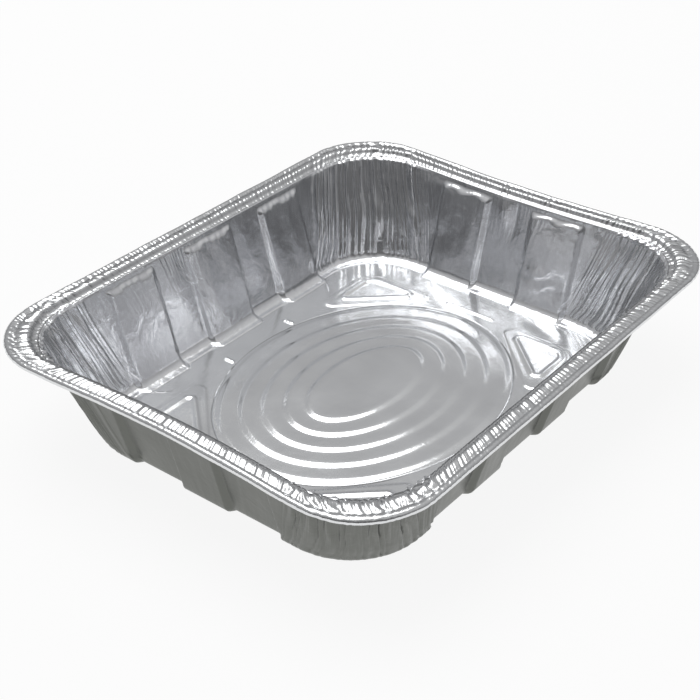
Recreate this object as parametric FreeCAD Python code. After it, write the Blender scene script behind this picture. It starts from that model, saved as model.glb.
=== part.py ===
import FreeCAD, Part
import os
import math

# Foil roasting pan, half-size deep pattern: one piece of aluminium foil pressed into a
# tray with stepped wall panels, gathered corners, a terraced floor and a rolled rim.
# Length runs along X, width along Y, the underside of the floor lies on Z = 0.

os.makedirs("parts", exist_ok=True)
doc = FreeCAD.newDocument("foil_roasting_pan")
sheet = doc.addObject("Spreadsheet::Sheet", "sizes")

# Driving sizes in millimetres, written once each.
sizes = [
    ("rim_length", 324.0, "over the rolled edge, long way"),
    ("rim_width", 263.5, "over the rolled edge, short way"),
    ("pan_height", 63.5, "floor underside to the crown of the rim"),
    ("rim_corner_radius", 43.0, "plan radius of the rolled edge"),
    ("foil_gauge", 0.2, "sheet thickness"),
    ("rim_band", 13.7, "rolled edge to the top of the wall"),
    ("wall_corner_radius", 40.0, "plan radius at the top of the wall"),
    ("wall_drop", 3.3, "crown of the rim down to the top of the wall"),
    ("ledge_width", 2.3, "rim: top of the wall to the foot of the riser"),
    ("ledge_rise", 0.3, "rim: foot of the riser above the top of the wall"),
    ("riser_width", 1.1, "rim: plan width of the riser"),
    ("riser_drop", 0.9, "rim: crown down to the head of the riser"),
    ("shoulder_width", 0.8, "rim: groove to the shoulder of the band"),
    ("shoulder_drop", 0.5, "rim: crown down to the shoulder"),
    ("groove_gap", 0.1, "rim: rolled edge to the bottom of the groove"),
    ("groove_drop", 1.2, "rim: crown down to the bottom of the groove"),
    ("bead_drop", 0.26, "rim: crown down to the top of the rolled edge"),
    ("foot_length", 260.0, "walls extended down to the floor, long way"),
    ("foot_width", 202.0, "walls extended down to the floor, short way"),
    ("foot_corner_radius", 42.0, "plan radius at the foot"),
    ("foot_bend", 7.0, "bend radius from floor to wall"),
    ("panel_depth_foot", 3.2, "wall panels stand in at the foot"),
    ("panel_depth_head", 1.8, "wall panels stand in under the rim"),
    ("panel_head_drop", 3.4, "top of the wall down to the panel heads"),
    ("panel_head_slope", 1.6, "height of the sloped panel head"),
    ("panel_side", 2.4, "width of the sloped side of a panel"),
    ("long_mid_half", 18.5, "half width of the middle panel, long wall"),
    ("long_end_width", 34.0, "width of the end panels, long wall"),
    ("long_end_gap", 9.0, "end panels to the start of the corner, long wall"),
    ("short_panel_width", 33.5, "width of the panels, short wall"),
    ("short_panel_gap", 10.0, "panels to the start of the corner, short wall"),
    ("pleat_depth", 1.3, "depth of the corner pleats"),
    ("pleat_depth_head", 0.9, "depth of the corner pleats beside the panel heads"),
    ("flute_depth", 0.5, "height of the gathers on the rim corners"),
    ("bead_radius", 2.0, "outside radius of the rolled edge"),
    ("ring_margin_x", 37.4, "foot of the short walls to the outermost floor step"),
    ("ring_margin_y", 27.9, "foot of the long walls to the outermost floor step"),
    ("ring_pitch", 12.4, "distance from step to step"),
    ("ring_slope", 4.2, "plan width of a step's slope"),
    ("ring_rise", 0.85, "height of a step"),
    ("pad_margin_x", 26.0, "corner pads: in from the foot of the short walls"),
    ("pad_margin_y", 23.0, "corner pads: in from the foot of the long walls"),
    ("pad_ring_gap", 2.2, "corner pads: long side to the outermost floor step"),
    ("pad_rise", 0.6, "height of the corner pads"),
    ("pad_slope", 1.8, "plan width of a pad's slope"),
    ("pad_corner_radius", 15.0, "corner pads: radius in the pan's corner"),
    ("pad_tip_radius", 6.0, "corner pads: radius of the two tips"),
    ("loop_inset_side", 4.6, "corner loops: in from the pad's outer edges"),
    ("loop_short_x", 18.0, "corner loops: leg along X shorter than the pad's"),
    ("loop_short_y", 14.0, "corner loops: leg along Y shorter than the pad's"),
    ("loop_corner_radius", 10.5, "corner loops: radius in the pan's corner"),
    ("loop_tip_radius", 5.0, "corner loops: radius of the two tips"),
    ("loop_band", 4.2, "plan width of the corner loops"),
    ("loop_crest", 1.2, "plan width of the loops' flat crest"),
    ("loop_rise", 0.9, "height of the corner loops"),
    ("rib_margin", 22.4, "short ribs: middle in from the foot of the long walls"),
    ("rib_apart", 26.5, "short ribs: from the pan's short axis"),
    ("rib_length", 8.0, "length of the short ribs"),
    ("rib_band", 2.6, "width of the ribs"),
    ("rib_crest", 1.0, "width of the ribs' flat crest"),
    ("rib_rise", 0.8, "height of the ribs"),
    ("bar_margin", 27.0, "long ribs: in from the foot of the short walls"),
    ("bar_length", 34.0, "length of the long ribs"),
]
for row, (name, value, note) in enumerate(sizes, start=1):
    sheet.set("A%d" % row, note)
    sheet.set("B%d" % row, "%g" % value)
    sheet.setAlias("B%d" % row, name)
doc.recompute()


def size(name):
    return float(getattr(sheet, name))


gauge = size("foil_gauge")
half_l = size("rim_length") / 2
half_w = size("rim_width") / 2
height = size("pan_height")
foot_x = size("foot_length") / 2
foot_y = size("foot_width") / 2
pleats_per_corner = 10
corner_steps = 2 * pleats_per_corner
ring_count = 5
bend_steps = 4


# Outlines. A level is a rounded rectangle at one height; its straight sides carry the
# wall panels and its corners carry the pleats.
def panel_edges(long_side):
    # The straight part of a side ends where the corner starts at the foot.
    if long_side:
        mid = size("long_mid_half")
        far = foot_x - size("foot_corner_radius") - size("long_end_gap")
        near = far - size("long_end_width")
        return [(-far, -near), (-mid, mid), (near, far)]
    far = foot_y - size("foot_corner_radius") - size("short_panel_gap")
    near = far - size("short_panel_width")
    return [(-far, -near), (near, far)]


def side_points(long_side, depth):
    # Points along one side as (distance along, distance in), panels standing in by depth.
    points = []
    half_slope = size("panel_side") / 2
    for start, end in panel_edges(long_side):
        points.append((start - half_slope, 0.0))
        points.append((start + half_slope, depth))
        points.append((end - half_slope, depth))
        points.append((end + half_slope, 0.0))
    return points


def level(hx, hy, radius, z, panel=0.0, pleat=0.0, flute=0.0, panelled=True):
    # Corner points, counter-clockwise from the middle of the +X side.
    corners = []
    sides = []
    for quarter in range(4):
        sx = (1, -1, -1, 1)[quarter]
        sy = (1, 1, -1, -1)[quarter]
        cx = sx * (hx - radius)
        cy = sy * (hy - radius)
        corner = []
        for step in range(corner_steps + 1):
            angle = math.radians(90.0 * quarter + 90.0 * step / corner_steps)
            folded = step % 2 == 1
            reach = radius - (pleat if folded else 0.0)
            drop = flute if folded else 0.0
            corner.append(FreeCAD.Vector(cx + reach * math.cos(angle),
                                         cy + reach * math.sin(angle), z - drop))
        corners.append(corner)
        # The side that follows this corner.
        side = []
        if panelled:
            for along, inset in side_points(quarter % 2 == 0, panel):
                if quarter == 0:
                    side.append(FreeCAD.Vector(-along, hy - inset, z))
                elif quarter == 1:
                    side.append(FreeCAD.Vector(-hx + inset, -along, z))
                elif quarter == 2:
                    side.append(FreeCAD.Vector(along, -hy + inset, z))
                else:
                    side.append(FreeCAD.Vector(hx - inset, along, z))
        sides.append(side)
    return corners, sides


def loop(lev):
    corners, sides = lev
    points = []
    for corner, side in zip(corners, sides):
        points.extend(corner)
        points.extend(side)
    return points


# Faces between outlines.
def patch(a, b, c, d):
    # Four-sided piece of foil: flat, slightly twisted, or creased from corner to corner.
    normal = (c - a).cross(d - b)
    normal.normalize()
    twist = abs((b - a).dot(normal))
    if twist < 1e-7:
        return [Part.Face(Part.makePolygon([a, b, c, d, a]))]
    if twist < gauge / 4:
        return [Part.makeRuledSurface(Part.makeLine(a, b), Part.makeLine(d, c))]
    return [Part.Face(Part.makePolygon([a, b, c, a])),
            Part.Face(Part.makePolygon([a, c, d, a]))]


def band(lower, upper):
    first = loop(lower)
    second = loop(upper)
    faces = []
    count = len(first)
    for i in range(count):
        j = (i + 1) % count
        faces.extend(patch(first[i], first[j], second[j], second[i]))
    return faces


def head_band(panelled_level, plain_level):
    # Strip whose lower edge is divided by the panels and whose upper edge is not.
    faces = []
    low_corners, low_sides = panelled_level
    top_corners, top_sides = plain_level
    for quarter in range(4):
        low = low_corners[quarter]
        top = top_corners[quarter]
        for i in range(corner_steps):
            faces.extend(patch(low[i], low[i + 1], top[i + 1], top[i]))
        after = (quarter + 1) % 4
        ring = [low[-1]] + low_sides[quarter] + [low_corners[after][0]]
        ring = ring + [top_corners[after][0], top[-1], low[-1]]
        faces.append(Part.Face(Part.makePolygon(ring)))
    return faces


# Section of the pan from the floor up the wall and round the rolled edge, as the
# visible face of the foil. Each entry: half length, half width, plan radius, height,
# then how far panels, pleats and rim gathers are developed at that height.
def section():
    foot_r = size("foot_corner_radius")
    head_x = half_l - size("rim_band")
    head_y = half_w - size("rim_band")
    head_r = size("wall_corner_radius")
    head_z = height - size("wall_drop")
    deep = size("panel_depth_foot")
    shallow = size("panel_depth_head")
    pleat = size("pleat_depth")
    flute = size("flute_depth")
    bend = size("foot_bend")
    lean = math.atan2(head_x - foot_x, head_z - gauge)
    turn = math.pi / 2 - lean
    tangent = bend * math.tan(turn / 2)
    points = []
    # Bend from floor to wall.
    for part in (0.0, 0.5, 1.0):
        angle = turn * part
        inward = tangent - bend * math.sin(angle)
        rise = bend * (1 - math.cos(angle))
        points.append((foot_x - inward, foot_y - inward, foot_r - inward, gauge + rise,
                       deep, pleat * part, 0.0))

    def on_wall(z, panel, fold):
        part = (z - gauge) / (head_z - gauge)
        return (foot_x + (head_x - foot_x) * part, foot_y + (head_y - foot_y) * part,
                foot_r + (head_r - foot_r) * part, z, panel, fold, 0.0)

    # Wall, with the sloped heads of the panels just below its top.
    panel_top = head_z - size("panel_head_drop")
    points.append(on_wall(panel_top - size("panel_head_slope"), shallow, pleat))
    points.append(on_wall(panel_top, 0.0, size("pleat_depth_head")))
    wall_points = len(points)
    points.append((head_x, head_y, head_r, head_z, 0.0, 0.0, 0.0))
    # Rim: ledge, riser, crowned band, groove and rolled edge. Distances are measured
    # inward from the rolled edge and down from the crown.
    bead = size("bead_radius")
    full = size("rim_band")
    riser_foot = full - size("ledge_width")
    riser_head = riser_foot - size("riser_width")
    groove = 2 * bead + size("groove_gap")
    shoulder = groove + size("shoulder_width")
    crown = (riser_head + shoulder) / 2
    rim = [
        (riser_foot, size("wall_drop") - size("ledge_rise"), 0.3),
        (riser_head, size("riser_drop"), 1.0),
        (crown, 0.0, 1.0),
        (shoulder, size("shoulder_drop"), 1.0),
        (groove, size("groove_drop"), 0.5),
    ]
    for degrees in (118, 60, 0, -50, -100, -145):
        angle = math.radians(degrees)
        rim.append((bead - bead * math.cos(angle),
                    size("bead_drop") + bead - bead * math.sin(angle), 0.0))
    for inward, down, gather in rim:
        radius = size("rim_corner_radius")
        radius = radius + (head_r - radius) * inward / full
        points.append((half_l - inward, half_w - inward, radius, height - down,
                       0.0, 0.0, flute * gather))
    return points, wall_points


def back_face(points):
    # The same section moved through the foil by its gauge.
    moved = []
    last = len(points) - 1
    for i, point in enumerate(points):
        before = points[max(i - 1, 0)]
        after = points[min(i + 1, last)]
        d1 = (point[0] - before[0], point[3] - before[3])
        d2 = (after[0] - point[0], after[3] - point[3])
        l1 = math.hypot(*d1)
        l2 = math.hypot(*d2)
        if i == 0:
            # The floor is level where the section starts.
            d1, l1 = (1.0, 0.0), 1.0
        if i == last:
            d2, l2 = d1, l1
        n1 = (d1[1] / l1, -d1[0] / l1)
        n2 = (d2[1] / l2, -d2[0] / l2)
        if i == 0:
            n2 = n1
        share = 1.0 + n1[0] * n2[0] + n1[1] * n2[1]
        nx = (n1[0] + n2[0]) / share * gauge
        nz = (n1[1] + n2[1]) / share * gauge
        moved.append((point[0] + nx, point[1] + nx, point[2] + nx, point[3] + nz)
                     + tuple(point[4:]))
    return moved


def skin(points, wall_points):
    faces = []
    levels = []
    for i, p in enumerate(points):
        levels.append(level(*p, panelled=i < wall_points))
    for i in range(len(levels) - 1):
        if i + 1 == wall_points:
            faces.extend(head_band(levels[i], levels[i + 1]))
        else:
            faces.extend(band(levels[i], levels[i + 1]))
    return faces, levels


# Floor features. Each is a closed outline pressed up from the floor; the foil follows
# it with its own gauge, so every outline is used once above and once below.
def ellipse_wire(half_long, half_short, z):
    curve = Part.Ellipse(FreeCAD.Vector(0, 0, z), half_long, half_short)
    return Part.Wire([curve.toShape()])


def arc_points(x, y, radius, start, end, z):
    # Points round part of a circle, from one angle to the other.
    points = []
    for i in range(bend_steps + 1):
        angle = start + (end - start) * i / bend_steps
        points.append(FreeCAD.Vector(x + radius * math.cos(angle),
                                     y + radius * math.sin(angle), z))
    return points


def rounded_loop(corners, radii, z):
    # Closed outline through the corner points with each corner rounded.
    count = len(corners)
    points = []
    for i in range(count):
        x, y = corners[i]
        ahead = math.atan2(corners[(i + 1) % count][1] - y, corners[(i + 1) % count][0] - x)
        back = math.atan2(corners[i - 1][1] - y, corners[i - 1][0] - x)
        opening = (ahead - back + math.pi) % (2 * math.pi) - math.pi
        middle = back + opening / 2
        reach = radii[i] / math.sin(abs(opening) / 2)
        sweep = math.copysign(math.pi - abs(opening), -opening)
        points.extend(arc_points(x + reach * math.cos(middle), y + reach * math.sin(middle),
                                 radii[i], middle + math.pi - sweep / 2,
                                 middle + math.pi + sweep / 2, z))
    return points


def moved_in(corners, distance):
    # The outline's straight sides moved towards its inside.
    count = len(corners)
    area = 0.0
    for i in range(count):
        x1, y1 = corners[i]
        x2, y2 = corners[(i + 1) % count]
        area += x1 * y2 - x2 * y1
    turn = 1.0 if area > 0 else -1.0
    lines = []
    for i in range(count):
        x1, y1 = corners[i]
        x2, y2 = corners[(i + 1) % count]
        length = math.hypot(x2 - x1, y2 - y1)
        nx = -(y2 - y1) / length * turn
        ny = (x2 - x1) / length * turn
        lines.append((nx, ny, nx * x1 + ny * y1 + distance))
    result = []
    for i in range(count):
        a1, b1, c1 = lines[i - 1]
        a2, b2, c2 = lines[i]
        det = a1 * b2 - a2 * b1
        result.append(((c1 * b2 - c2 * b1) / det, (a1 * c2 - a2 * c1) / det))
    return result


def closed(points):
    return Part.makePolygon(points + [points[0]])


def between(first, second):
    faces = []
    for i in range(len(first)):
        j = (i + 1) % len(first)
        faces.extend(patch(first[i], first[j], second[j], second[i]))
    return faces


def holed(outer, holes):
    return Part.makeFace([outer] + holes, "Part::FaceMakerBullseye").Faces


def outermost_ring():
    # Half length and half width of the outermost step at its foot.
    half_slope = size("ring_slope") / 2
    return (foot_x - size("ring_margin_x") + half_slope,
            foot_y - size("ring_margin_y") + half_slope)


def floor_rings(lift):
    faces = []
    slope = size("ring_slope")
    outer_x, outer_y = outermost_ring()
    outer_top = None
    outermost = None
    for k in range(ring_count, 0, -1):
        long_way = outer_x - size("ring_pitch") * (ring_count - k)
        short_way = outer_y - size("ring_pitch") * (ring_count - k)
        base = size("ring_rise") * (ring_count - k) + lift
        top = base + size("ring_rise")
        foot = ellipse_wire(long_way, short_way, base)
        brow = ellipse_wire(long_way - slope, short_way - slope, top)
        faces.extend(Part.makeLoft([foot, brow], False, True).Faces)
        if outermost is None:
            outermost = foot
        else:
            faces.extend(holed(outer_top, [foot]))
        outer_top = brow
    faces.append(Part.Face(outer_top))
    return faces, outermost


def corner_pad(sx, sy, lift):
    # Three-cornered pad with a raised loop on it, in one corner of the floor.
    # Its long side lies at 45 degrees and keeps clear of the outermost step.
    edge_x = foot_x - size("pad_margin_x")
    edge_y = foot_y - size("pad_margin_y")
    ring_x, ring_y = outermost_ring()
    ring_reach = math.sqrt((ring_x ** 2 + ring_y ** 2) / 2)
    leg = edge_x + edge_y - math.sqrt(2) * (ring_reach + size("pad_ring_gap"))
    outer = [(sx * edge_x, sy * edge_y),
             (sx * (edge_x - leg), sy * edge_y),
             (sx * edge_x, sy * (edge_y - leg))]
    in_x = edge_x - size("loop_inset_side")
    in_y = edge_y - size("loop_inset_side")
    inner = [(sx * in_x, sy * in_y),
             (sx * (in_x - leg + size("loop_short_x")), sy * in_y),
             (sx * in_x, sy * (in_y - leg + size("loop_short_y")))]
    slope = size("pad_slope")
    top = size("pad_rise") + lift
    corner = size("pad_corner_radius")
    tip = size("pad_tip_radius")
    foot = rounded_loop(outer, [corner, tip, tip], lift)
    brow = rounded_loop(moved_in(outer, slope), [corner - slope, tip - slope, tip - slope], top)
    faces = between(foot, brow)
    band_width = size("loop_band")
    crest = top + size("loop_rise")
    corner = size("loop_corner_radius")
    tip = size("loop_tip_radius")
    rounds = []
    flank = (band_width - size("loop_crest")) / 2
    for shift, z in ((0.0, top), (flank, crest), (band_width - flank, crest),
                     (band_width, top)):
        radii = [corner - shift, tip - shift, tip - shift]
        rounds.append(rounded_loop(moved_in(inner, shift), radii, z))
    faces.extend(holed(closed(brow), [closed(rounds[0])]))
    for i in range(3):
        faces.extend(between(rounds[i], rounds[i + 1]))
    faces.append(Part.Face(closed(rounds[3])))
    return faces, closed(foot)


def rib(x, y, length, lift):
    # Straight rib along Y with round ends.
    half = size("rib_band") / 2
    reach = length / 2 - half
    rounds = []
    for radius, z in ((half, lift), (size("rib_crest") / 2, lift + size("rib_rise"))):
        far_end = arc_points(x, y + reach, radius, 0.0, math.pi, z)
        near_end = arc_points(x, y - reach, radius, math.pi, 2 * math.pi, z)
        rounds.append(far_end + near_end)
    faces = between(rounds[0], rounds[1])
    faces.append(Part.Face(closed(rounds[1])))
    return faces, closed(rounds[0])


def floor(edge_level, lift):
    faces, ring_foot = floor_rings(lift)
    holes = [ring_foot]
    for sx in (1, -1):
        for sy in (1, -1):
            more, foot = corner_pad(sx, sy, lift)
            faces.extend(more)
            holes.append(foot)
            more, foot = rib(sx * size("rib_apart"), sy * (foot_y - size("rib_margin")),
                             size("rib_length"), lift)
            faces.extend(more)
            holes.append(foot)
        more, foot = rib(sx * (foot_x - size("bar_margin")), 0.0, size("bar_length"), lift)
        faces.extend(more)
        holes.append(foot)
    faces.extend(holed(closed(loop(edge_level)), holes))
    return faces


def pan_shape():
    inside, wall_points = section()
    outside = back_face(inside)
    front_faces, front_levels = skin(inside, wall_points)
    back_faces, back_levels = skin(outside, wall_points)
    faces = front_faces + back_faces
    # Cut edge of the foil at the end of the rolled edge.
    faces.extend(band(front_levels[-1], back_levels[-1]))
    faces.extend(floor(front_levels[0], gauge))
    faces.extend(floor(back_levels[0], 0.0))
    sewn = Part.Compound(faces)
    sewn.sewShape(1e-5)
    shell = sewn.Shells[0]
    if len(sewn.Shells) != 1 or not shell.isClosed():
        raise ValueError("the foil does not close: %d shells" % len(sewn.Shells))
    solid = Part.Solid(shell)
    if solid.Volume < 0:
        solid.reverse()
    return solid


pan = doc.addObject("Part::Feature", "foil_pan")
pan.Label = "foil_pan"
pan.Shape = pan_shape()
pan.Placement = FreeCAD.Placement()
doc.recompute()

for item in doc.Objects:
    if "Invalid" in item.State or "Error" in item.State:
        raise ValueError("object in error: " + item.Label)
if pan.Shape.isNull() or not pan.Shape.isValid():
    raise ValueError("the pan is not a valid solid")
pan.Shape.exportStep("parts/foil_pan.step")
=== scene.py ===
import math

import bpy
import numpy as np
from mathutils import Matrix, Vector


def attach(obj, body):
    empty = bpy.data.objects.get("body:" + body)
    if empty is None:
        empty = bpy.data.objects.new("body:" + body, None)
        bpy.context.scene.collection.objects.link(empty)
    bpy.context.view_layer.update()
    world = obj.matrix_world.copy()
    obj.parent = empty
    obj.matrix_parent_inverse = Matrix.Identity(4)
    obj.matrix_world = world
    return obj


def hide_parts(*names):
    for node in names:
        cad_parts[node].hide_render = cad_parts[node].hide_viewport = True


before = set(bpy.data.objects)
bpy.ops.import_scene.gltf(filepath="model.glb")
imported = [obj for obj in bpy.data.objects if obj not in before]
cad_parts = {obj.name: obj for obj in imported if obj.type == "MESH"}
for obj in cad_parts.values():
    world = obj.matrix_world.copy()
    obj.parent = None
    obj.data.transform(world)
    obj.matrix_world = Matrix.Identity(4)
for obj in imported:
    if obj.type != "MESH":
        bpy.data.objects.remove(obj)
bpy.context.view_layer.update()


# Rim
# The edge of the one sheet of aluminium foil that the pan is pressed from: a ledge, a
# riser, a crowned band and an edge rolled outward and under to stiffen it. The die crimps
# it crosswise all along, and gathers the spare foil at the corners into long curved folds.
rim_length = 324.0
rim_width = 263.5
pan_height = 63.5
rim_corner = 43.0
rim_band = 13.7
foil_gauge = 0.2
band_middle = (7.6, 0.08)
band_profile = [(12.6, 3.22), (11.5, 3.0), (11.0, 2.1), (10.5, 1.05), (10.0, 0.45),
                (9.2, 0.1), (8.4, 0.0), band_middle, (6.8, 0.23), (6.1, 0.41),
                (5.4, 0.62), (4.8, 0.9), (4.1, 1.2)]
roll_radius = 2.0
roll_drop = 0.26
roll_inside = (122, 98, 74, 50, 25)
roll_outside = (0, -25, -50, -75, -100, -125, -145)
roll_sag = 0.22
short_side_pinch = 3.8
pinch_reach = rim_width / 2 - rim_corner
pinch_blend = (60.0, 120.0)

# All sizes are in millimetres, as in the part's own drawing. These are the wall's that the
# rim stands on, whose section runs on into the rim's.
wall_corner = 40.0
wall_drop = 3.3
foot_length = 260.0
foot_width = 202.0
foot_corner = 42.0
foot_bend = 7.0
bend_rows = 8
flat_lap = 2.0

# The sheet is laid out in columns of points, 1440 round the pan. A corner's folds die away
# over the first columns of the straight beside it.
corner_columns = 88
long_columns = 312
short_columns = 232
corner_reach = 26


def ease(value, low, high):
    # 0 below low, 1 above high, rounded off at both ends.
    t = np.clip((value - low) / (high - low), 0.0, 1.0)
    return t * t * (3.0 - 2.0 * t)


def waves(x, y, seed, longest, count=9):
    # Gentle unevenness of the sheet, about -1 to 1.
    pick = np.random.default_rng(seed)
    total = np.zeros_like(x)
    for _ in range(count):
        length = longest * pick.uniform(0.35, 1.0)
        heading = pick.uniform(0.0, math.pi)
        phase = pick.uniform(0.0, 2 * math.pi)
        total = total + np.sin(2 * math.pi * (x * math.cos(heading) + y * math.sin(heading))
                               / length + phase)
    return total / math.sqrt(count)


def columns():
    # For each column round the pan: the corner it starts from, the share of the side that
    # is passed, the direction it faces, and how much it belongs to a corner.
    quarter, share, facing, cornered = [], [], [], []
    for q in range(4):
        side = (long_columns, short_columns)[q % 2]
        for i in range(corner_columns):
            quarter.append(q)
            share.append(0.0)
            facing.append(math.radians(90.0 * (q + i / corner_columns)))
            cornered.append(1.0)
        for i in range(side):
            quarter.append(q)
            share.append(i / side)
            facing.append(math.radians(90.0 * (q + 1)))
            past = min(i, side - i)
            cornered.append(max(0.0, 1.0 - past / corner_reach) ** 1.5)
    return [np.array(a) for a in (quarter, share, facing, cornered)]


col_quarter, col_share, col_facing, col_corner = columns()
col_out = np.stack([np.cos(col_facing), np.sin(col_facing)], 1)
corner_sign = np.array([(1, 1), (-1, 1), (-1, -1), (1, -1)], float)


def outline(half_x, half_y, radius):
    # Points of a rounded rectangle at the columns.
    centre = np.array([half_x - radius, half_y - radius])
    here = corner_sign[col_quarter] * centre
    after = corner_sign[(col_quarter + 1) % 4] * centre
    return here + radius * col_out + col_share[:, None] * (after - here)


def set_out(row, stand_in=0.0):
    # The points of one row round the pan. The short sides are pinched in as they rise.
    half_x, half_y, radius, z = row
    flat = outline(half_x, half_y, radius) - col_out * np.reshape(stand_in, (-1, 1))
    lifted = np.clip((z - foil_gauge) / (pan_height - foil_gauge), 0.0, 1.0)
    bowed = np.clip(1.0 - (flat[:, 1] / pinch_reach) ** 2, 0.0, 1.0) ** 1.5
    on_short_side = ease(np.abs(flat[:, 0]), *pinch_blend)
    flat[:, 0] -= np.sign(flat[:, 0]) * short_side_pinch * lifted * bowed * on_short_side
    return np.column_stack([flat, np.full(len(flat), z)])


def seen_side(rows):
    # The direction that the seen face looks in, for every point of the rows.
    turns = np.gradient(np.array([(r[0], r[3]) for r in rows]), axis=0)
    turns /= np.linalg.norm(turns, axis=1)[:, None]
    shape = (len(rows), len(col_out))
    level_part = np.broadcast_to(col_out[None], shape + (2,)) * -turns[:, None, 1:2]
    upright_part = np.broadcast_to(turns[:, None, 0:1], shape + (1,))
    return np.concatenate([level_part, upright_part], 2)


def fall(rows):
    # Distance gone along the section at each row.
    steps = [math.hypot(b[0] - a[0], b[3] - a[3]) for a, b in zip(rows, rows[1:])]
    return np.cumsum([0.0] + steps)


foot_x, foot_y = foot_length / 2, foot_width / 2
head_x, head_y = rim_length / 2 - rim_band, rim_width / 2 - rim_band
head_z = pan_height - wall_drop


def wall_row(z):
    # Half length, half width, corner radius and height of the wall's section.
    part = (z - foil_gauge) / (head_z - foil_gauge)
    return (foot_x + (head_x - foot_x) * part, foot_y + (head_y - foot_y) * part,
            foot_corner + (wall_corner - foot_corner) * part, z)


def rim_row(inward, down):
    # The same at a distance inward from the rolled edge and down from the crown.
    radius = rim_corner + (wall_corner - rim_corner) * inward / rim_band
    return (rim_length / 2 - inward, rim_width / 2 - inward, radius, pan_height - down)


lean = math.atan2(head_x - foot_x, head_z - foil_gauge)
bend_turn = math.pi / 2 - lean
tangent = foot_bend * math.tan(bend_turn / 2)
wall_section = [(foot_x - tangent - flat_lap, foot_y - tangent - flat_lap,
                 foot_corner - tangent - flat_lap, foil_gauge)]
for i in range(bend_rows):
    angle = bend_turn * i / (bend_rows - 1)
    inward = tangent - foot_bend * math.sin(angle)
    wall_section.append((foot_x - inward, foot_y - inward, foot_corner - inward,
                         foil_gauge + foot_bend * (1 - math.cos(angle))))
bend_top = wall_section[-1][3]

# The rows stand closer where the heads of the panels slope off.
open_top = 51.6
open_rows = 12
open_heights = np.linspace(bend_top, open_top, open_rows + 1)[1:]
head_heights = [52.6, 53.5, 54.3, 55.0, 55.6, 56.2, 56.8, 57.5, 58.4, 59.3, head_z]
wall_section += [wall_row(z) for z in list(open_heights) + head_heights]
wall_fall = fall(wall_section)

# Folds are counted along the middle of the rim's band, and the walls' pleats go on from
# them. They lie further apart at the corners and stray a little.
crimp_pitch = 2.5
corner_fold_pitch = 4.4
fold_stray = 0.55
crown = set_out(rim_row(*band_middle))
step_run = np.linalg.norm(np.roll(crown, -1, 0) - crown, axis=1)
col_run = np.concatenate([[0.0], np.cumsum(step_run)[:-1]])
density = 1.0 / (crimp_pitch + (corner_fold_pitch - crimp_pitch) * col_corner)
fold_count = float(np.sum(density * step_run))
col_fold = np.concatenate([[0.0], np.cumsum(density * step_run)[:-1]])
col_fold *= round(fold_count) / fold_count
col_fold += fold_stray * waves(crown[:, 0], crown[:, 1], 31, 26.0)

rim_section = [wall_section[-1]] + [rim_row(inward, down) for inward, down in band_profile]
for degrees in roll_inside + roll_outside:
    angle = math.radians(degrees)
    rim_section.append(rim_row(roll_radius - roll_radius * math.cos(angle),
                               roll_drop + roll_radius - roll_radius * math.sin(angle)))
rim_face = np.stack([set_out(row) for row in rim_section])
rim_push = seen_side([wall_section[-2]] + rim_section)[1:]
rim_fall = wall_fall[-1] + fall(rim_section)
rim_in = rim_length / 2 - np.array([row[0] for row in rim_section])

# The folds curve as they cross the band, one way on each side of a corner.
fold_sway = 0.9
sway_turn = 1.3
sway = np.sin((rim_band - rim_in) / rim_band * math.pi * sway_turn) * fold_sway
rim_fold = col_fold[None] + sway[:, None] * col_corner[None] \
    * np.sign(np.sin(2 * col_facing))[None]

# Depth of the crimps and folds at distances inward from the rolled edge.
seam_crimp = 0.2
seam_fold = 1.2
roll_crimp = 0.12
roll_fold = 0.3
depth_at = [0.0, 2.0, 4.1, 5.0, 9.0, 10.4, 11.3, rim_band]
crimp_depth = np.interp(rim_in, depth_at, [0.1, 0.16, 0.35, 0.9, 1.1, 1.0, 0.6, seam_crimp])
fold_depth = np.interp(rim_in, depth_at, [0.2, 0.35, 0.8, 1.5, 1.7, 1.6, 1.3, seam_fold])
crimp_depth[-len(roll_outside):] = roll_crimp
fold_depth[-len(roll_outside):] = roll_fold
rim_gather = crimp_depth[:, None] * (1 - col_corner[None]) \
    + fold_depth[:, None] * col_corner[None]

# The rolled edge sags a little, more in some places than in others.
sag_start = 6.0
sag_full = 2.0
sag_change = 0.6
sag = waves(np.broadcast_to(col_run, rim_face.shape[:2]), rim_face[..., 2] * 0, 9, 46.0)
rolled = np.clip((sag_start - rim_in) / (sag_start - sag_full), 0.0, 1.0)
rim_face[..., 2] -= roll_sag * (1 + sag * sag_change).clip(0, 2) * rolled[:, None]


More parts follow.
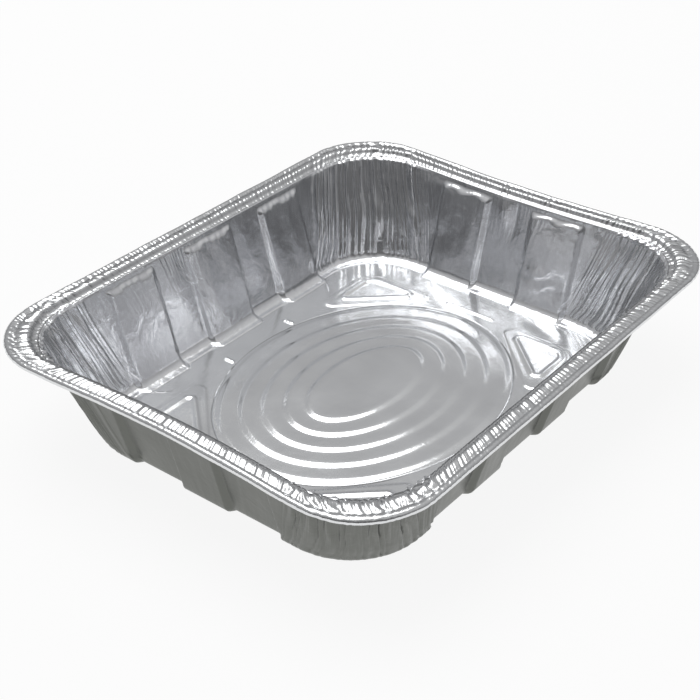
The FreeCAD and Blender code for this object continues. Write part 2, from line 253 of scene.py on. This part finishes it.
def rolling_marks():
    # Fine lines where the sheet was drawn, a skin of small creases, and broad patches.
    group = bpy.data.node_groups.new("rolling_marks", "ShaderNodeTree")
    for name, value in (("Line Spacing", 900.0), ("Line Height", 0.05),
                        ("Crease Size", 160.0), ("Crease Height", 0.2)):
        group.interface.new_socket(name, in_out="INPUT",
                                   socket_type="NodeSocketFloat").default_value = value
    for name in ("Tone", "Gloss", "Height"):
        group.interface.new_socket(name, in_out="OUTPUT", socket_type="NodeSocketFloat")
    n, link = group.nodes, group.links.new
    start, end = n.new("NodeGroupInput"), n.new("NodeGroupOutput")
    place = n.new("ShaderNodeUVMap")
    place.uv_map = "sheet"
    stretch = n.new("ShaderNodeMapping")
    stretch.inputs["Scale"].default_value = (1.0, 0.035, 1.0)
    link(place.outputs["UV"], stretch.inputs["Vector"])
    lines = n.new("ShaderNodeTexNoise")
    lines.inputs["Detail"].default_value = 2.0
    lines.inputs["Roughness"].default_value = 0.5
    link(stretch.outputs["Vector"], lines.inputs["Vector"])
    link(start.outputs["Line Spacing"], lines.inputs["Scale"])
    body = n.new("ShaderNodeTexCoord")
    creases = n.new("ShaderNodeTexNoise")
    creases.inputs["Detail"].default_value = 3.0
    creases.inputs["Distortion"].default_value = 0.6
    link(body.outputs["Object"], creases.inputs["Vector"])
    link(start.outputs["Crease Size"], creases.inputs["Scale"])
    broad = n.new("ShaderNodeTexNoise")
    broad.inputs["Scale"].default_value = 28.0
    broad.inputs["Detail"].default_value = 2.0
    link(body.outputs["Object"], broad.inputs["Vector"])
    tone = n.new("ShaderNodeMapRange")
    tone.inputs["To Min"].default_value = 0.9
    tone.inputs["To Max"].default_value = 1.06
    link(broad.outputs["Fac"], tone.inputs["Value"])
    link(tone.outputs["Result"], end.inputs["Tone"])
    gloss = n.new("ShaderNodeMath")
    gloss.operation = "MULTIPLY_ADD"
    gloss.inputs[1].default_value = 0.5
    link(lines.outputs["Fac"], gloss.inputs[0])
    link(broad.outputs["Fac"], gloss.inputs[2])
    link(gloss.outputs["Value"], end.inputs["Gloss"])
    # The lines are as high as the sheet was gathered at that place.
    worked = n.new("ShaderNodeAttribute")
    worked.attribute_name = "worked"
    drawn = n.new("ShaderNodeMath")
    drawn.operation = "MULTIPLY"
    link(worked.outputs["Fac"], drawn.inputs[0])
    link(start.outputs["Line Height"], drawn.inputs[1])
    creased = n.new("ShaderNodeMath")
    creased.operation = "MULTIPLY"
    link(creases.outputs["Fac"], creased.inputs[0])
    link(start.outputs["Crease Height"], creased.inputs[1])
    height = n.new("ShaderNodeMath")
    height.operation = "MULTIPLY_ADD"
    link(lines.outputs["Fac"], height.inputs[0])
    link(drawn.outputs["Value"], height.inputs[1])
    link(creased.outputs["Value"], height.inputs[2])
    link(height.outputs["Value"], end.inputs["Height"])
    return group


marks = rolling_marks()


def foil(name, colour, smooth, rough, lines, line_height, creases, crease_height):
    # Bare rolled aluminium. Heights are in millimetres, spacings in marks to the metre.
    material = bpy.data.materials.new(name)
    material.use_nodes = True
    n, link = material.node_tree.nodes, material.node_tree.links.new
    surface = n["Principled BSDF"]
    surface.inputs["Metallic"].default_value = 1.0
    worked = n.new("ShaderNodeGroup")
    worked.node_tree = marks
    worked.inputs["Line Spacing"].default_value = lines
    worked.inputs["Line Height"].default_value = line_height
    worked.inputs["Crease Size"].default_value = creases
    worked.inputs["Crease Height"].default_value = crease_height
    tint = n.new("ShaderNodeMix")
    tint.data_type = "RGBA"
    tint.blend_type = "MULTIPLY"
    tint.inputs["Factor"].default_value = 1.0
    tint.inputs["A"].default_value = colour + (1.0,)
    link(worked.outputs["Tone"], tint.inputs["B"])
    link(tint.outputs["Result"], surface.inputs["Base Color"])
    spread = n.new("ShaderNodeMapRange")
    spread.inputs["From Min"].default_value = 0.45
    spread.inputs["From Max"].default_value = 1.05
    spread.inputs["To Min"].default_value = smooth
    spread.inputs["To Max"].default_value = rough
    link(worked.outputs["Gloss"], spread.inputs["Value"])
    link(spread.outputs["Result"], surface.inputs["Roughness"])
    bump = n.new("ShaderNodeBump")
    bump.inputs["Distance"].default_value = 0.001
    bump.inputs["Strength"].default_value = 1.0
    link(worked.outputs["Height"], bump.inputs["Height"])
    link(bump.outputs["Normal"], surface.inputs["Normal"])
    return material


def gathers():
    # Sharp creases with round lobes between them, where the flat sheet had too much edge
    # for the die. Each fold has a depth of its own, and the folds wander. The sheet says at
    # each point how many folds came before it (fold), how deep they are in millimetres
    # (gather; below nothing they rise out of the seen face instead of sinking into it),
    # which way the seen face looks (push), and which faces are the hidden skin (back).
    tree = bpy.data.node_groups.new("gathers", "GeometryNodeTree")
    io = tree.interface
    io.new_socket("Geometry", in_out="INPUT", socket_type="NodeSocketGeometry")
    for name, value in (("Depth", 1.0), ("Wander", 1.4), ("Wander Size", 24.0),
                        ("Least Depth", 0.3), ("Seed", 3.0)):
        io.new_socket(name, in_out="INPUT", socket_type="NodeSocketFloat").default_value = value
    io.new_socket("Face", in_out="INPUT", socket_type="NodeSocketMaterial")
    io.new_socket("Back", in_out="INPUT", socket_type="NodeSocketMaterial")
    io.new_socket("Geometry", in_out="OUTPUT", socket_type="NodeSocketGeometry")
    n, link = tree.nodes, tree.links.new
    start, end = n.new("NodeGroupInput"), n.new("NodeGroupOutput")

    def stored(name, kind):
        node = n.new("GeometryNodeInputNamedAttribute")
        node.data_type = kind
        node.inputs["Name"].default_value = name
        return node.outputs["Attribute"]

    def maths(operation, *values):
        node = n.new("ShaderNodeMath")
        node.operation = operation
        for socket, value in zip(node.inputs, values):
            if isinstance(value, (int, float)):
                socket.default_value = value
            else:
                link(value, socket)
        return node.outputs["Value"]

    stray = n.new("ShaderNodeTexNoise")
    stray.noise_dimensions = "4D"
    stray.inputs["Detail"].default_value = 1.0
    link(n.new("GeometryNodeInputPosition").outputs["Position"], stray.inputs["Vector"])
    link(start.outputs["Wander Size"], stray.inputs["Scale"])
    link(start.outputs["Seed"], stray.inputs["W"])
    strayed = maths("MULTIPLY", maths("SUBTRACT", stray.outputs[0], 0.5),
                    start.outputs["Wander"])
    phase = maths("ADD", stored("fold", "FLOAT"), maths("MULTIPLY", strayed, 2.0))
    within = maths("FRACT", phase)
    chance = n.new("ShaderNodeTexWhiteNoise")
    chance.noise_dimensions = "2D"
    both = n.new("ShaderNodeCombineXYZ")
    link(maths("FLOOR", phase), both.inputs["X"])
    link(start.outputs["Seed"], both.inputs["Y"])
    link(both.outputs["Vector"], chance.inputs["Vector"])
    spread = maths("MULTIPLY_ADD", chance.outputs["Value"],
                   maths("SUBTRACT", 1.0, start.outputs["Least Depth"]),
                   start.outputs["Least Depth"])
    ramp = maths("ABSOLUTE", maths("MULTIPLY_ADD", within, 2.0, -1.0))
    crease = maths("POWER", maths("SUBTRACT", 1.0, ramp), 1.4)
    amount = maths("MULTIPLY", crease, spread)
    amount = maths("MULTIPLY", amount, stored("gather", "FLOAT"))
    amount = maths("MULTIPLY", amount, start.outputs["Depth"])
    offset = n.new("ShaderNodeVectorMath")
    offset.operation = "SCALE"
    link(stored("push", "FLOAT_VECTOR"), offset.inputs[0])
    link(maths("MULTIPLY", amount, -0.001), offset.inputs["Scale"])
    moved = n.new("GeometryNodeSetPosition")
    link(start.outputs["Geometry"], moved.inputs["Geometry"])
    link(offset.outputs["Vector"], moved.inputs["Offset"])
    whole = n.new("GeometryNodeRealizeInstances")
    link(moved.outputs["Geometry"], whole.inputs["Geometry"])
    seen = n.new("GeometryNodeSetMaterial")
    link(whole.outputs["Geometry"], seen.inputs["Geometry"])
    link(start.outputs["Face"], seen.inputs["Material"])
    hidden = n.new("GeometryNodeSetMaterial")
    link(seen.outputs["Geometry"], hidden.inputs["Geometry"])
    link(maths("GREATER_THAN", stored("back", "FLOAT"), 0.5), hidden.inputs["Selection"])
    link(start.outputs["Back"], hidden.inputs["Material"])
    link(hidden.outputs["Geometry"], end.inputs["Geometry"])
    return tree


gather_tree = gathers()


def pressed(name, finish, face, push, around, across, fold=0.0, gather=0.0, centre=None):
    # A ring of foil from rows of points: the seen face, its back one gauge behind, and
    # both edges closed. A centre point makes it a disc, closed in the middle.
    count, width = face.shape[:2]
    back = face - push * foil_gauge
    back[..., 2] = np.maximum(back[..., 2], 0.0)
    points = [face.reshape(-1, 3), back.reshape(-1, 3)]
    index = np.arange(count * width).reshape(count, width)
    after = np.roll(index, -1, 1)
    top = np.stack([index[:-1], after[:-1], after[1:], index[1:]], -1).reshape(-1, 4)
    # Both skins are split along the same diagonals, so that they can't cross.
    low = top[:, (0, 3, 2, 1)] + count * width
    edge = [np.stack([index[-1], after[-1], after[-1] + count * width,
                      index[-1] + count * width], -1)]
    triangles = np.zeros((0, 3), int)
    if centre is None:
        edge.append(np.stack([after[0], index[0], index[0] + count * width,
                              after[0] + count * width], -1))
    else:
        tip = 2 * count * width
        points += [np.array([centre]), np.array([centre]) - (0.0, 0.0, foil_gauge)]
        first = np.stack([after[0], index[0], np.full(width, tip)], -1)
        second = np.stack([index[0] + count * width, after[0] + count * width,
                           np.full(width, tip + 1)], -1)
        triangles = np.concatenate([first, second])
    quads = np.concatenate([top, low] + edge)
    # The rows run outwards, so these faces look down: turned to look up.
    quads, triangles = quads[:, ::-1], triangles[:, ::-1]
    points = np.concatenate(points) * 0.001
    mesh = bpy.data.meshes.new(name)
    mesh.vertices.add(len(points))
    mesh.vertices.foreach_set("co", points.ravel())
    corners = np.concatenate([quads.ravel(), triangles.ravel()])
    starts = np.concatenate([np.arange(len(quads)) * 4,
                             len(quads) * 4 + np.arange(len(triangles)) * 3])
    mesh.loops.add(len(corners))
    mesh.loops.foreach_set("vertex_index", corners.astype(np.int32))
    mesh.polygons.add(len(starts))
    mesh.polygons.foreach_set("loop_start", starts.astype(np.int32))
    smooth = np.ones(len(starts), bool)
    smooth[len(top) + len(low):len(quads)] = False
    mesh.polygons.foreach_set("use_smooth", smooth)

    def each(values, tail):
        values = np.broadcast_to(values, (count, width)).ravel()
        extra = [] if centre is None else [tail, tail]
        return np.concatenate([values, values, extra])

    worked = 0.02 + np.abs(gather)
    for label, values in (("fold", fold), ("gather", gather), ("worked", worked)):
        item = mesh.attributes.new(label, "FLOAT", "POINT")
        item.data.foreach_set("value", each(values, 0.0).astype(np.float32))
    item = mesh.attributes.new("push", "FLOAT_VECTOR", "POINT")
    pushes = np.stack([each(push[..., k], float(k == 2)) for k in range(3)], 1)
    item.data.foreach_set("vector", pushes.astype(np.float32).ravel())
    behind = np.concatenate([np.zeros(len(top)), np.ones(len(low)),
                             np.zeros(sum(len(e) for e in edge)),
                             np.zeros(len(triangles) // 2), np.ones(len(triangles) // 2)])
    item = mesh.attributes.new("back", "FLOAT", "FACE")
    item.data.foreach_set("value", behind.astype(np.float32))
    layer = mesh.uv_layers.new(name="sheet")
    flat = np.stack([each(around, 0.0), each(across, 0.0)], 1) * 0.001
    layer.data.foreach_set("uv", flat[corners].astype(np.float32).ravel())
    mesh.update(calc_edges=True)
    mesh.validate()
    piece = bpy.data.objects.new(name, mesh)
    bpy.context.scene.collection.objects.link(piece)
    press = piece.modifiers.new("gathers", "NODES")
    press.node_group = gather_tree
    # The hidden skin takes the back finish, whose dark colour is painted shade.
    wanted = {"Face": finish, "Back": painted_shade_back}
    for item in gather_tree.interface.items_tree:
        if item.in_out == "INPUT" and item.name in wanted:
            press[item.identifier] = wanted[item.name]
    shaped = piece.evaluated_get(bpy.context.evaluated_depsgraph_get())
    done = bpy.data.meshes.new_from_object(shaped)
    piece.modifiers.clear()
    piece.data = done
    for label in ("fold", "gather", "push", "back"):
        if label in done.attributes:
            done.attributes.remove(done.attributes[label])
    return piece


crimped_edge = foil("foil_crimped_edge", (0.76, 0.77, 0.78), smooth=0.1, rough=0.2,
                    lines=420.0, line_height=0.45, creases=260.0, crease_height=0.25)
# The back skin, seen as the pan's outer walls and underside, gets a dark grey the foil doesn't
# have. This is painted shade for the shadowed table and dim room that the outside reflects.
painted_shade_back = foil("foil_painted_shade_back", (0.16, 0.165, 0.152), smooth=0.27, rough=0.42,
                 lines=300.0, line_height=0.5, creases=150.0, crease_height=0.2)
rim = pressed("pan_rim", crimped_edge, rim_face, rim_push, col_run[None],
              rim_fall[:, None], fold=rim_fold, gather=rim_gather)
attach(rim, "root")
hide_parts("foil_pan")


# Walls
# Four sloping walls of the same sheet, with stepped panels standing in from the straights.
# The die draws them up out of the flat sheet, which leaves pleats at the corners and drag
# lines under the rim. The thin foil has taken a few dents since.
panel_foot = 3.2
panel_head = 1.8
panel_head_z = 56.8
panel_head_slope = 1.6
panel_side = 2.4
long_panels = [(-79.0, -45.0), (-18.5, 18.5), (45.0, 79.0)]
short_panels = [(-49.0, -15.5), (15.5, 49.0)]


def panel_share(points):
    # 1 on a wall panel, 0 beside it.
    share = np.zeros(len(points))
    on_side = col_share > 0.0
    for long_side, panels in ((True, long_panels), (False, short_panels)):
        along = points[:, 0] if long_side else points[:, 1]
        here = on_side & ((col_quarter % 2 == 0) == long_side)
        for start, end in panels:
            rise = np.clip((along - start) / panel_side + 0.5, 0.0, 1.0)
            sink = np.clip((end - along) / panel_side + 0.5, 0.0, 1.0)
            share = np.maximum(share, np.where(here, rise * sink, 0.0))
    return share


def panelled(row):
    # How far the panels stand in at a row. Their heads slope off a little ragged.
    half_x, half_y, radius, z = row
    plain = outline(half_x, half_y, radius)
    up = max(z - bend_top, 0.0) / (panel_head_z - panel_head_slope - bend_top)
    depth = max(panel_foot + (panel_head - panel_foot) * up, 0.0)
    ragged = 0.5 + 0.5 * np.sin(plain[:, 0] * 0.31 + plain[:, 1] * 0.37
                                + np.sin(plain[:, 0] * 0.9))
    slope_foot = panel_head_z - panel_head_slope * (0.9 + 1.3 * ragged)
    return panel_share(plain) * (1.0 - ease(z, slope_foot, panel_head_z)) * depth


wall_face = np.stack([set_out(row, panelled(row)) for row in wall_section])
wall_push = seen_side(wall_section + [rim_section[1]])[:-1]
wall_x, wall_y, wall_z = wall_face[..., 0], wall_face[..., 1], wall_face[..., 2]

# Pleats and drag lines rise out of the seen face, into the pan, so their depth is below
# nothing. They fade in above the foot and turn into the rim's folds at the seam.
pleat_foot = 1.2
pleat_head = 2.4
pleat_rise = 60.0
drag_depth = 0.2
drag_blend = (26.0, 58.0)
foot_blend = (0.25, 6.0)
seam_blend = (58.4, 60.2)
rise = np.clip((wall_z - foil_gauge) / pleat_rise, 0.0, 1.0)
pleats = -(pleat_foot + (pleat_head - pleat_foot) * ease(rise, 0.02, 0.5)) * col_corner[None]
drag = -drag_depth * ease(wall_z, *drag_blend) * (1 - col_corner[None]) \
    * (0.55 + 0.45 * waves(wall_x, wall_y, 21, 90.0))
to_rim = ease(wall_z, *seam_blend)
at_seam = seam_crimp * (1 - col_corner[None]) + seam_fold * col_corner[None]
wall_gather = (pleats + drag) * ease(wall_z, *foot_blend) * (1 - to_rim) + at_seam * to_rim

# The sheet is nowhere quite flat, and one end has dents: place along the end, height,
# half width, half height, depth.
end_dents = [(-27.0, 21.0, 8.0, 4.0, 1.1), (-40.0, 17.0, 7.0, 5.0, -0.9),
             (45.0, 24.0, 8.0, 6.0, -0.9), (4.0, 50.0, 4.0, 7.0, 0.7),
             (-5.0, 46.0, 3.0, 9.0, -0.5), (-62.0, 30.0, 7.0, 11.0, 0.6),
             (25.0, 30.0, 4.0, 14.0, 0.4)]
dented_end = 90.0
unevenness = 0.15
uneven_foot = (3.0, 20.0)
uneven_head = (52.0, 59.5)
uneven = waves(wall_x + 0.2 * wall_z, wall_y - 0.2 * wall_z, 5, 36.0)
wall_wave = unevenness * uneven * ease(wall_z, *uneven_foot) * (1 - ease(wall_z, *uneven_head))
for place, height, wide, tall, deep in end_dents:
    near = np.exp(-((wall_y - place) / wide) ** 2 - ((wall_z - height) / tall) ** 2)
    wall_wave += deep * near * (wall_x > dented_end)

# The top row stays where the rim starts. At the foot every second point lies midway
# between its neighbours, because the floor has half as many columns.
wall_wave[-1] = 0.0
wall_face = wall_face + wall_push * wall_wave[..., None]
wall_face[0, 1::2] = (wall_face[0, 0::2] + np.roll(wall_face[0, 0::2], -1, 0)) / 2

drawn_face = foil("foil_drawn_face", (0.85, 0.86, 0.88), smooth=0.12, rough=0.22,
                  lines=300.0, line_height=0.4, creases=120.0, crease_height=0.3)
walls = pressed("pan_walls", drawn_face, wall_face, wall_push, col_run[None],
                wall_fall[:, None], fold=col_fold[None], gather=wall_gather)
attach(walls, "root")
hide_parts("foil_pan")


# Floor around the steps
# The outer part of the pressed floor, on which the pan stands. A three-cornered pad with a
# raised loop stiffens each corner, and short and long ribs are pressed in between them.
oval_half = (94.7, 75.2)
oval_margin = 1.2
field_half = (122.8, 93.8)
field_rows = 64
pad_edge = (104.0, 78.0)
pad_leg = 58.0
pad_slope = 1.8
pad_rise = 0.6
pad_rounds = (15.0, 6.0, 6.0)
loop_inset = 4.6
loop_legs = (40.0, 44.0)
loop_band = 4.2
loop_rise = 0.9
loop_rounds = (10.5, 5.0, 5.0)
rib_places = [(26.5, 78.6, 8.0), (103.0, 0.0, 34.0)]
rib_band = 2.6
rib_rise = 0.8
floor_unevenness = 0.1
level_edge = 0.05


def inside_depth(x, y, corners, radii):
    # How far inside a rounded outline each point lies; negative outside.
    distance = np.full(x.shape, -1e9)
    count = len(corners)
    lines = []
    for i in range(count):
        (x1, y1), (x2, y2) = corners[i], corners[(i + 1) % count]
        length = math.hypot(x2 - x1, y2 - y1)
        along = ((x2 - x1) / length, (y2 - y1) / length)
        out = (along[1], -along[0])
        away = (x - x1) * out[0] + (y - y1) * out[1]
        distance = np.maximum(distance, away)
        lines.append((along, out))
    for i in range(count):
        before, here = lines[i - 1], lines[i]
        halfway = (before[1][0] + here[1][0], before[1][1] + here[1][1])
        scale = radii[i] / (1 + before[1][0] * here[1][0] + before[1][1] * here[1][1])
        centre_x = corners[i][0] - halfway[0] * scale
        centre_y = corners[i][1] - halfway[1] * scale
        from_x, from_y = x - centre_x, y - centre_y
        beyond = (from_x * before[0][0] + from_y * before[0][1] > 0) \
            & (from_x * here[0][0] + from_y * here[0][1] < 0)
        distance = np.where(beyond, np.hypot(from_x, from_y) - radii[i], distance)
    return -distance


def level(x, y):
    # The floor as it lies, level at its edge and a little wavy inside it.
    out = np.maximum(np.abs(x) / field_half[0], np.abs(y) / field_half[1])
    edge = np.clip((1.0 - out) / level_edge, 0.0, 1.0)
    return foil_gauge + floor_unevenness * (1 + waves(x, y, 12, 60.0) / 3) * edge


def field_height(x, y):
    # The pads, loops and ribs on the level floor, the same in all four quarters.
    z = level(x, y)
    ax, ay = np.abs(x), np.abs(y)
    ex, ey = pad_edge
    pad = inside_depth(ax, ay, [(ex, ey), (ex - pad_leg, ey), (ex, ey - pad_leg)], pad_rounds)
    z = z + pad_rise * ease(pad, 0.0, pad_slope)
    ix, iy = ex - loop_inset, ey - loop_inset
    loop = inside_depth(ax, ay, [(ix, iy), (ix - loop_legs[0], iy), (ix, iy - loop_legs[1])],
                        loop_rounds)
    z = z + loop_rise * np.sin(math.pi * np.clip(loop / loop_band, 0.0, 1.0)) ** 1.5
    for rx, ry, length in rib_places:
        reach = length / 2 - rib_band / 2
        past = np.maximum(np.abs(ay - ry) - reach, 0.0)
        away = np.hypot(ax - rx, past) / rib_band
        z = z + rib_rise * np.sin(math.pi / 2 * np.clip(1.25 - away * 2.5, 0, 1)) ** 2
    return z


def floor_piece(name, plan, height, centre=None):
    # A ring or a disc of the floor from its plan. The slopes say which way it looks.
    x, y = plan[..., 0], plan[..., 1]
    face = np.concatenate([plan, height(x, y)[..., None]], 2)
    reach = 0.05
    slope_x = (height(x + reach, y) - height(x - reach, y)) / (2 * reach)
    slope_y = (height(x, y + reach) - height(x, y - reach)) / (2 * reach)
    push = np.stack([-slope_x, -slope_y, np.ones_like(x)], 2)
    push /= np.linalg.norm(push, axis=2)[..., None]
    return pressed(name, bright_face, face, push, y, x, centre=centre)


# It runs from an oval just outside the steps to every second column of the wall's foot.
plain = outline(*wall_section[0][:3])[::2]
angle = np.arctan2(plain[:, 1] / field_half[1], plain[:, 0] / field_half[0])
circle = np.stack([np.cos(angle), np.sin(angle)], 1)
seam = np.array(oval_half) + oval_margin
mix = np.linspace(0.0, 1.0, field_rows)[:, None, None]
field_plan = (circle * seam)[None] * (1 - mix) + wall_face[0, ::2, :2][None] * mix

bright_face = foil("foil_bright_face", (0.85, 0.86, 0.875), smooth=0.1, rough=0.21,
                   lines=900.0, line_height=0.8, creases=150.0, crease_height=0.1)
field = floor_piece("pan_floor_field", field_plan, field_height)
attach(field, "root")
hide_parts("foil_pan")


# Floor steps
# Five oval steps pressed into the middle of the floor, each a little higher than the one
# round it, so that juices drain to the edge and the thin floor stays stiff.
step_count = 5
step_pitch = 12.4
step_slope = 4.2
step_rise = 0.85


def stepped_height(x, y):
    # The steps on the level floor, each as steep all round its oval.
    z = level(x, y)
    for k in range(step_count):
        a, b = oval_half[0] - step_pitch * k, oval_half[1] - step_pitch * k
        rho = np.sqrt((x / a) ** 2 + (y / b) ** 2) + 1e-9
        steep = np.sqrt((x / a ** 2) ** 2 + (y / b ** 2) ** 2) / rho + 1e-9
        z = z + step_rise * ease((1 - rho) / steep, 0.0, step_slope)
    return z


# Rows of points: close together on each slope, wider on the flats between them.
insets = []
for k in range(step_count):
    insets += [k * step_pitch + d for d in (0.0, 0.6, 1.2, 1.8, 2.4, 3.0, 3.6, step_slope)]
    if k < step_count - 1:
        insets += [k * step_pitch + d for d in (6.2, 8.2, 10.3)]
ovals = [circle * (seam - oval_margin - d) for d in reversed(insets)]
inner = [ovals[0] * f for f in (0.08, 0.2, 0.35, 0.5, 0.65, 0.8, 0.92)]
middle = (0.0, 0.0, float(stepped_height(np.zeros(1), np.zeros(1))[0]))
steps = floor_piece("pan_floor_steps", np.stack(inner + ovals + [circle * seam]),
                    stepped_height, centre=middle)
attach(steps, "root")
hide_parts("foil_pan")


# Table
# A plain pale table top under the pan. It isn't part of the pan. It shows white to the
# camera and in the foil, and keeps a soft shadow.
table_white = 0.9
bpy.ops.mesh.primitive_plane_add(size=8.0, location=(0.0, 0.0, -0.0002))
table = bpy.context.object
table.name = "table_top"
table_finish = bpy.data.materials.new("table_pale")
table_finish.use_nodes = True
table_nodes, table_link = table_finish.node_tree.nodes, table_finish.node_tree.links.new
board = table_nodes["Principled BSDF"]
board.inputs["Base Color"].default_value = (0.95, 0.95, 0.95, 1.0)
board.inputs["Roughness"].default_value = 0.85
board.inputs["Specular IOR Level"].default_value = 0.15
ray = table_nodes.new("ShaderNodeLightPath")
seen_ray = ray.outputs["Is Camera Ray"]
for kind in ("Is Glossy Ray", "Is Transmission Ray"):
    either = table_nodes.new("ShaderNodeMath")
    either.operation = "ADD"
    either.use_clamp = True
    table_link(seen_ray, either.inputs[0])
    table_link(ray.outputs[kind], either.inputs[1])
    seen_ray = either.outputs["Value"]
lift = table_nodes.new("ShaderNodeMath")
lift.operation = "MULTIPLY"
lift.inputs[1].default_value = table_white
table_link(seen_ray, lift.inputs[0])
white = table_nodes.new("ShaderNodeEmission")
white.inputs["Strength"].default_value = 1.0
joined = table_nodes.new("ShaderNodeMixShader")
table_link(lift.outputs["Value"], joined.inputs["Fac"])
table_link(board.outputs["BSDF"], joined.inputs[1])
table_link(white.outputs["Emission"], joined.inputs[2])
table_link(joined.outputs["Shader"], table_nodes["Material Output"].inputs["Surface"])
table.data.materials.append(table_finish)


# Studio light
# A broad soft box overhead, towards the far side of the pan, in a grey room that is
# darkest at the horizon and behind the camera. Foil shows little but its surroundings.
lamp = bpy.data.lights.new("soft_box", "AREA")
lamp.shape = "RECTANGLE"
lamp.size = 2.55
lamp.size_y = 2.45
lamp.energy = 42.0
box = bpy.data.objects.new("soft_box", lamp)
box.location = (0.35, 1.07, 2.7)
bpy.context.scene.collection.objects.link(box)

room_greys = [(0.0, (0.14, 0.14, 0.14)), (0.22, (0.34, 0.34, 0.345)),
              (0.45, (0.38, 0.38, 0.385)), (0.8, (0.56, 0.56, 0.56))]
room = bpy.data.worlds.new("room")
room.use_nodes = True
bpy.context.scene.world = room
room_nodes, room_link = room.node_tree.nodes, room.node_tree.links.new
heading = room_nodes.new("ShaderNodeTexCoord")
split = room_nodes.new("ShaderNodeSeparateXYZ")
room_link(heading.outputs["Generated"], split.inputs["Vector"])
fade = room_nodes.new("ShaderNodeValToRGB")
stops = fade.color_ramp.elements
stops[0].position, stops[1].position = room_greys[0][0], room_greys[-1][0]
stops[0].color, stops[1].color = room_greys[0][1] + (1.0,), room_greys[-1][1] + (1.0,)
for position, grey in room_greys[1:-1]:
    stops.new(position).color = grey + (1.0,)
room_link(split.outputs["Z"], fade.inputs["Fac"])
toward = room_nodes.new("ShaderNodeVectorMath")
toward.operation = "DOT_PRODUCT"
toward.inputs[1].default_value = (-0.79, -0.61, 0.0)
room_link(heading.outputs["Generated"], toward.inputs[0])
behind = room_nodes.new("ShaderNodeMapRange")
behind.interpolation_type = "SMOOTHSTEP"
behind.inputs["From Min"].default_value = 0.25
behind.inputs["From Max"].default_value = 0.9
behind.inputs["To Min"].default_value = 1.0
behind.inputs["To Max"].default_value = 0.36
room_link(toward.outputs["Value"], behind.inputs["Value"])
room_link(fade.outputs["Color"], room_nodes["Background"].inputs["Color"])
room_link(behind.outputs["Result"], room_nodes["Background"].inputs["Strength"])


# Camera
# Stands off one corner of the pan, 0.67 m from its middle and 0.46 m above the table, and
# looks down into it through a long lens.
focal_pixels = 1452.455
picture_pixels = 700.0
view = bpy.data.cameras.new("view")
view.sensor_width = 36.0
view.lens = view.sensor_width * focal_pixels / picture_pixels
view.clip_start = 0.01
view.clip_end = 20.0
eye = bpy.data.objects.new("view", view)
bpy.context.scene.collection.objects.link(eye)
right = Vector((0.61937202, -0.78509421, -0.00231958))
down = Vector((-0.42871962, -0.33574496, -0.83873405))
ahead = Vector((0.65770646, 0.52048285, -0.54453633))
facing = Matrix((right, -down, -ahead)).transposed().to_4x4()
eye.matrix_world = Matrix.Translation((-0.531138, -0.409359, 0.460609)) @ facing
bpy.context.scene.camera = eye
bpy.context.scene.view_settings.view_transform = "Standard"
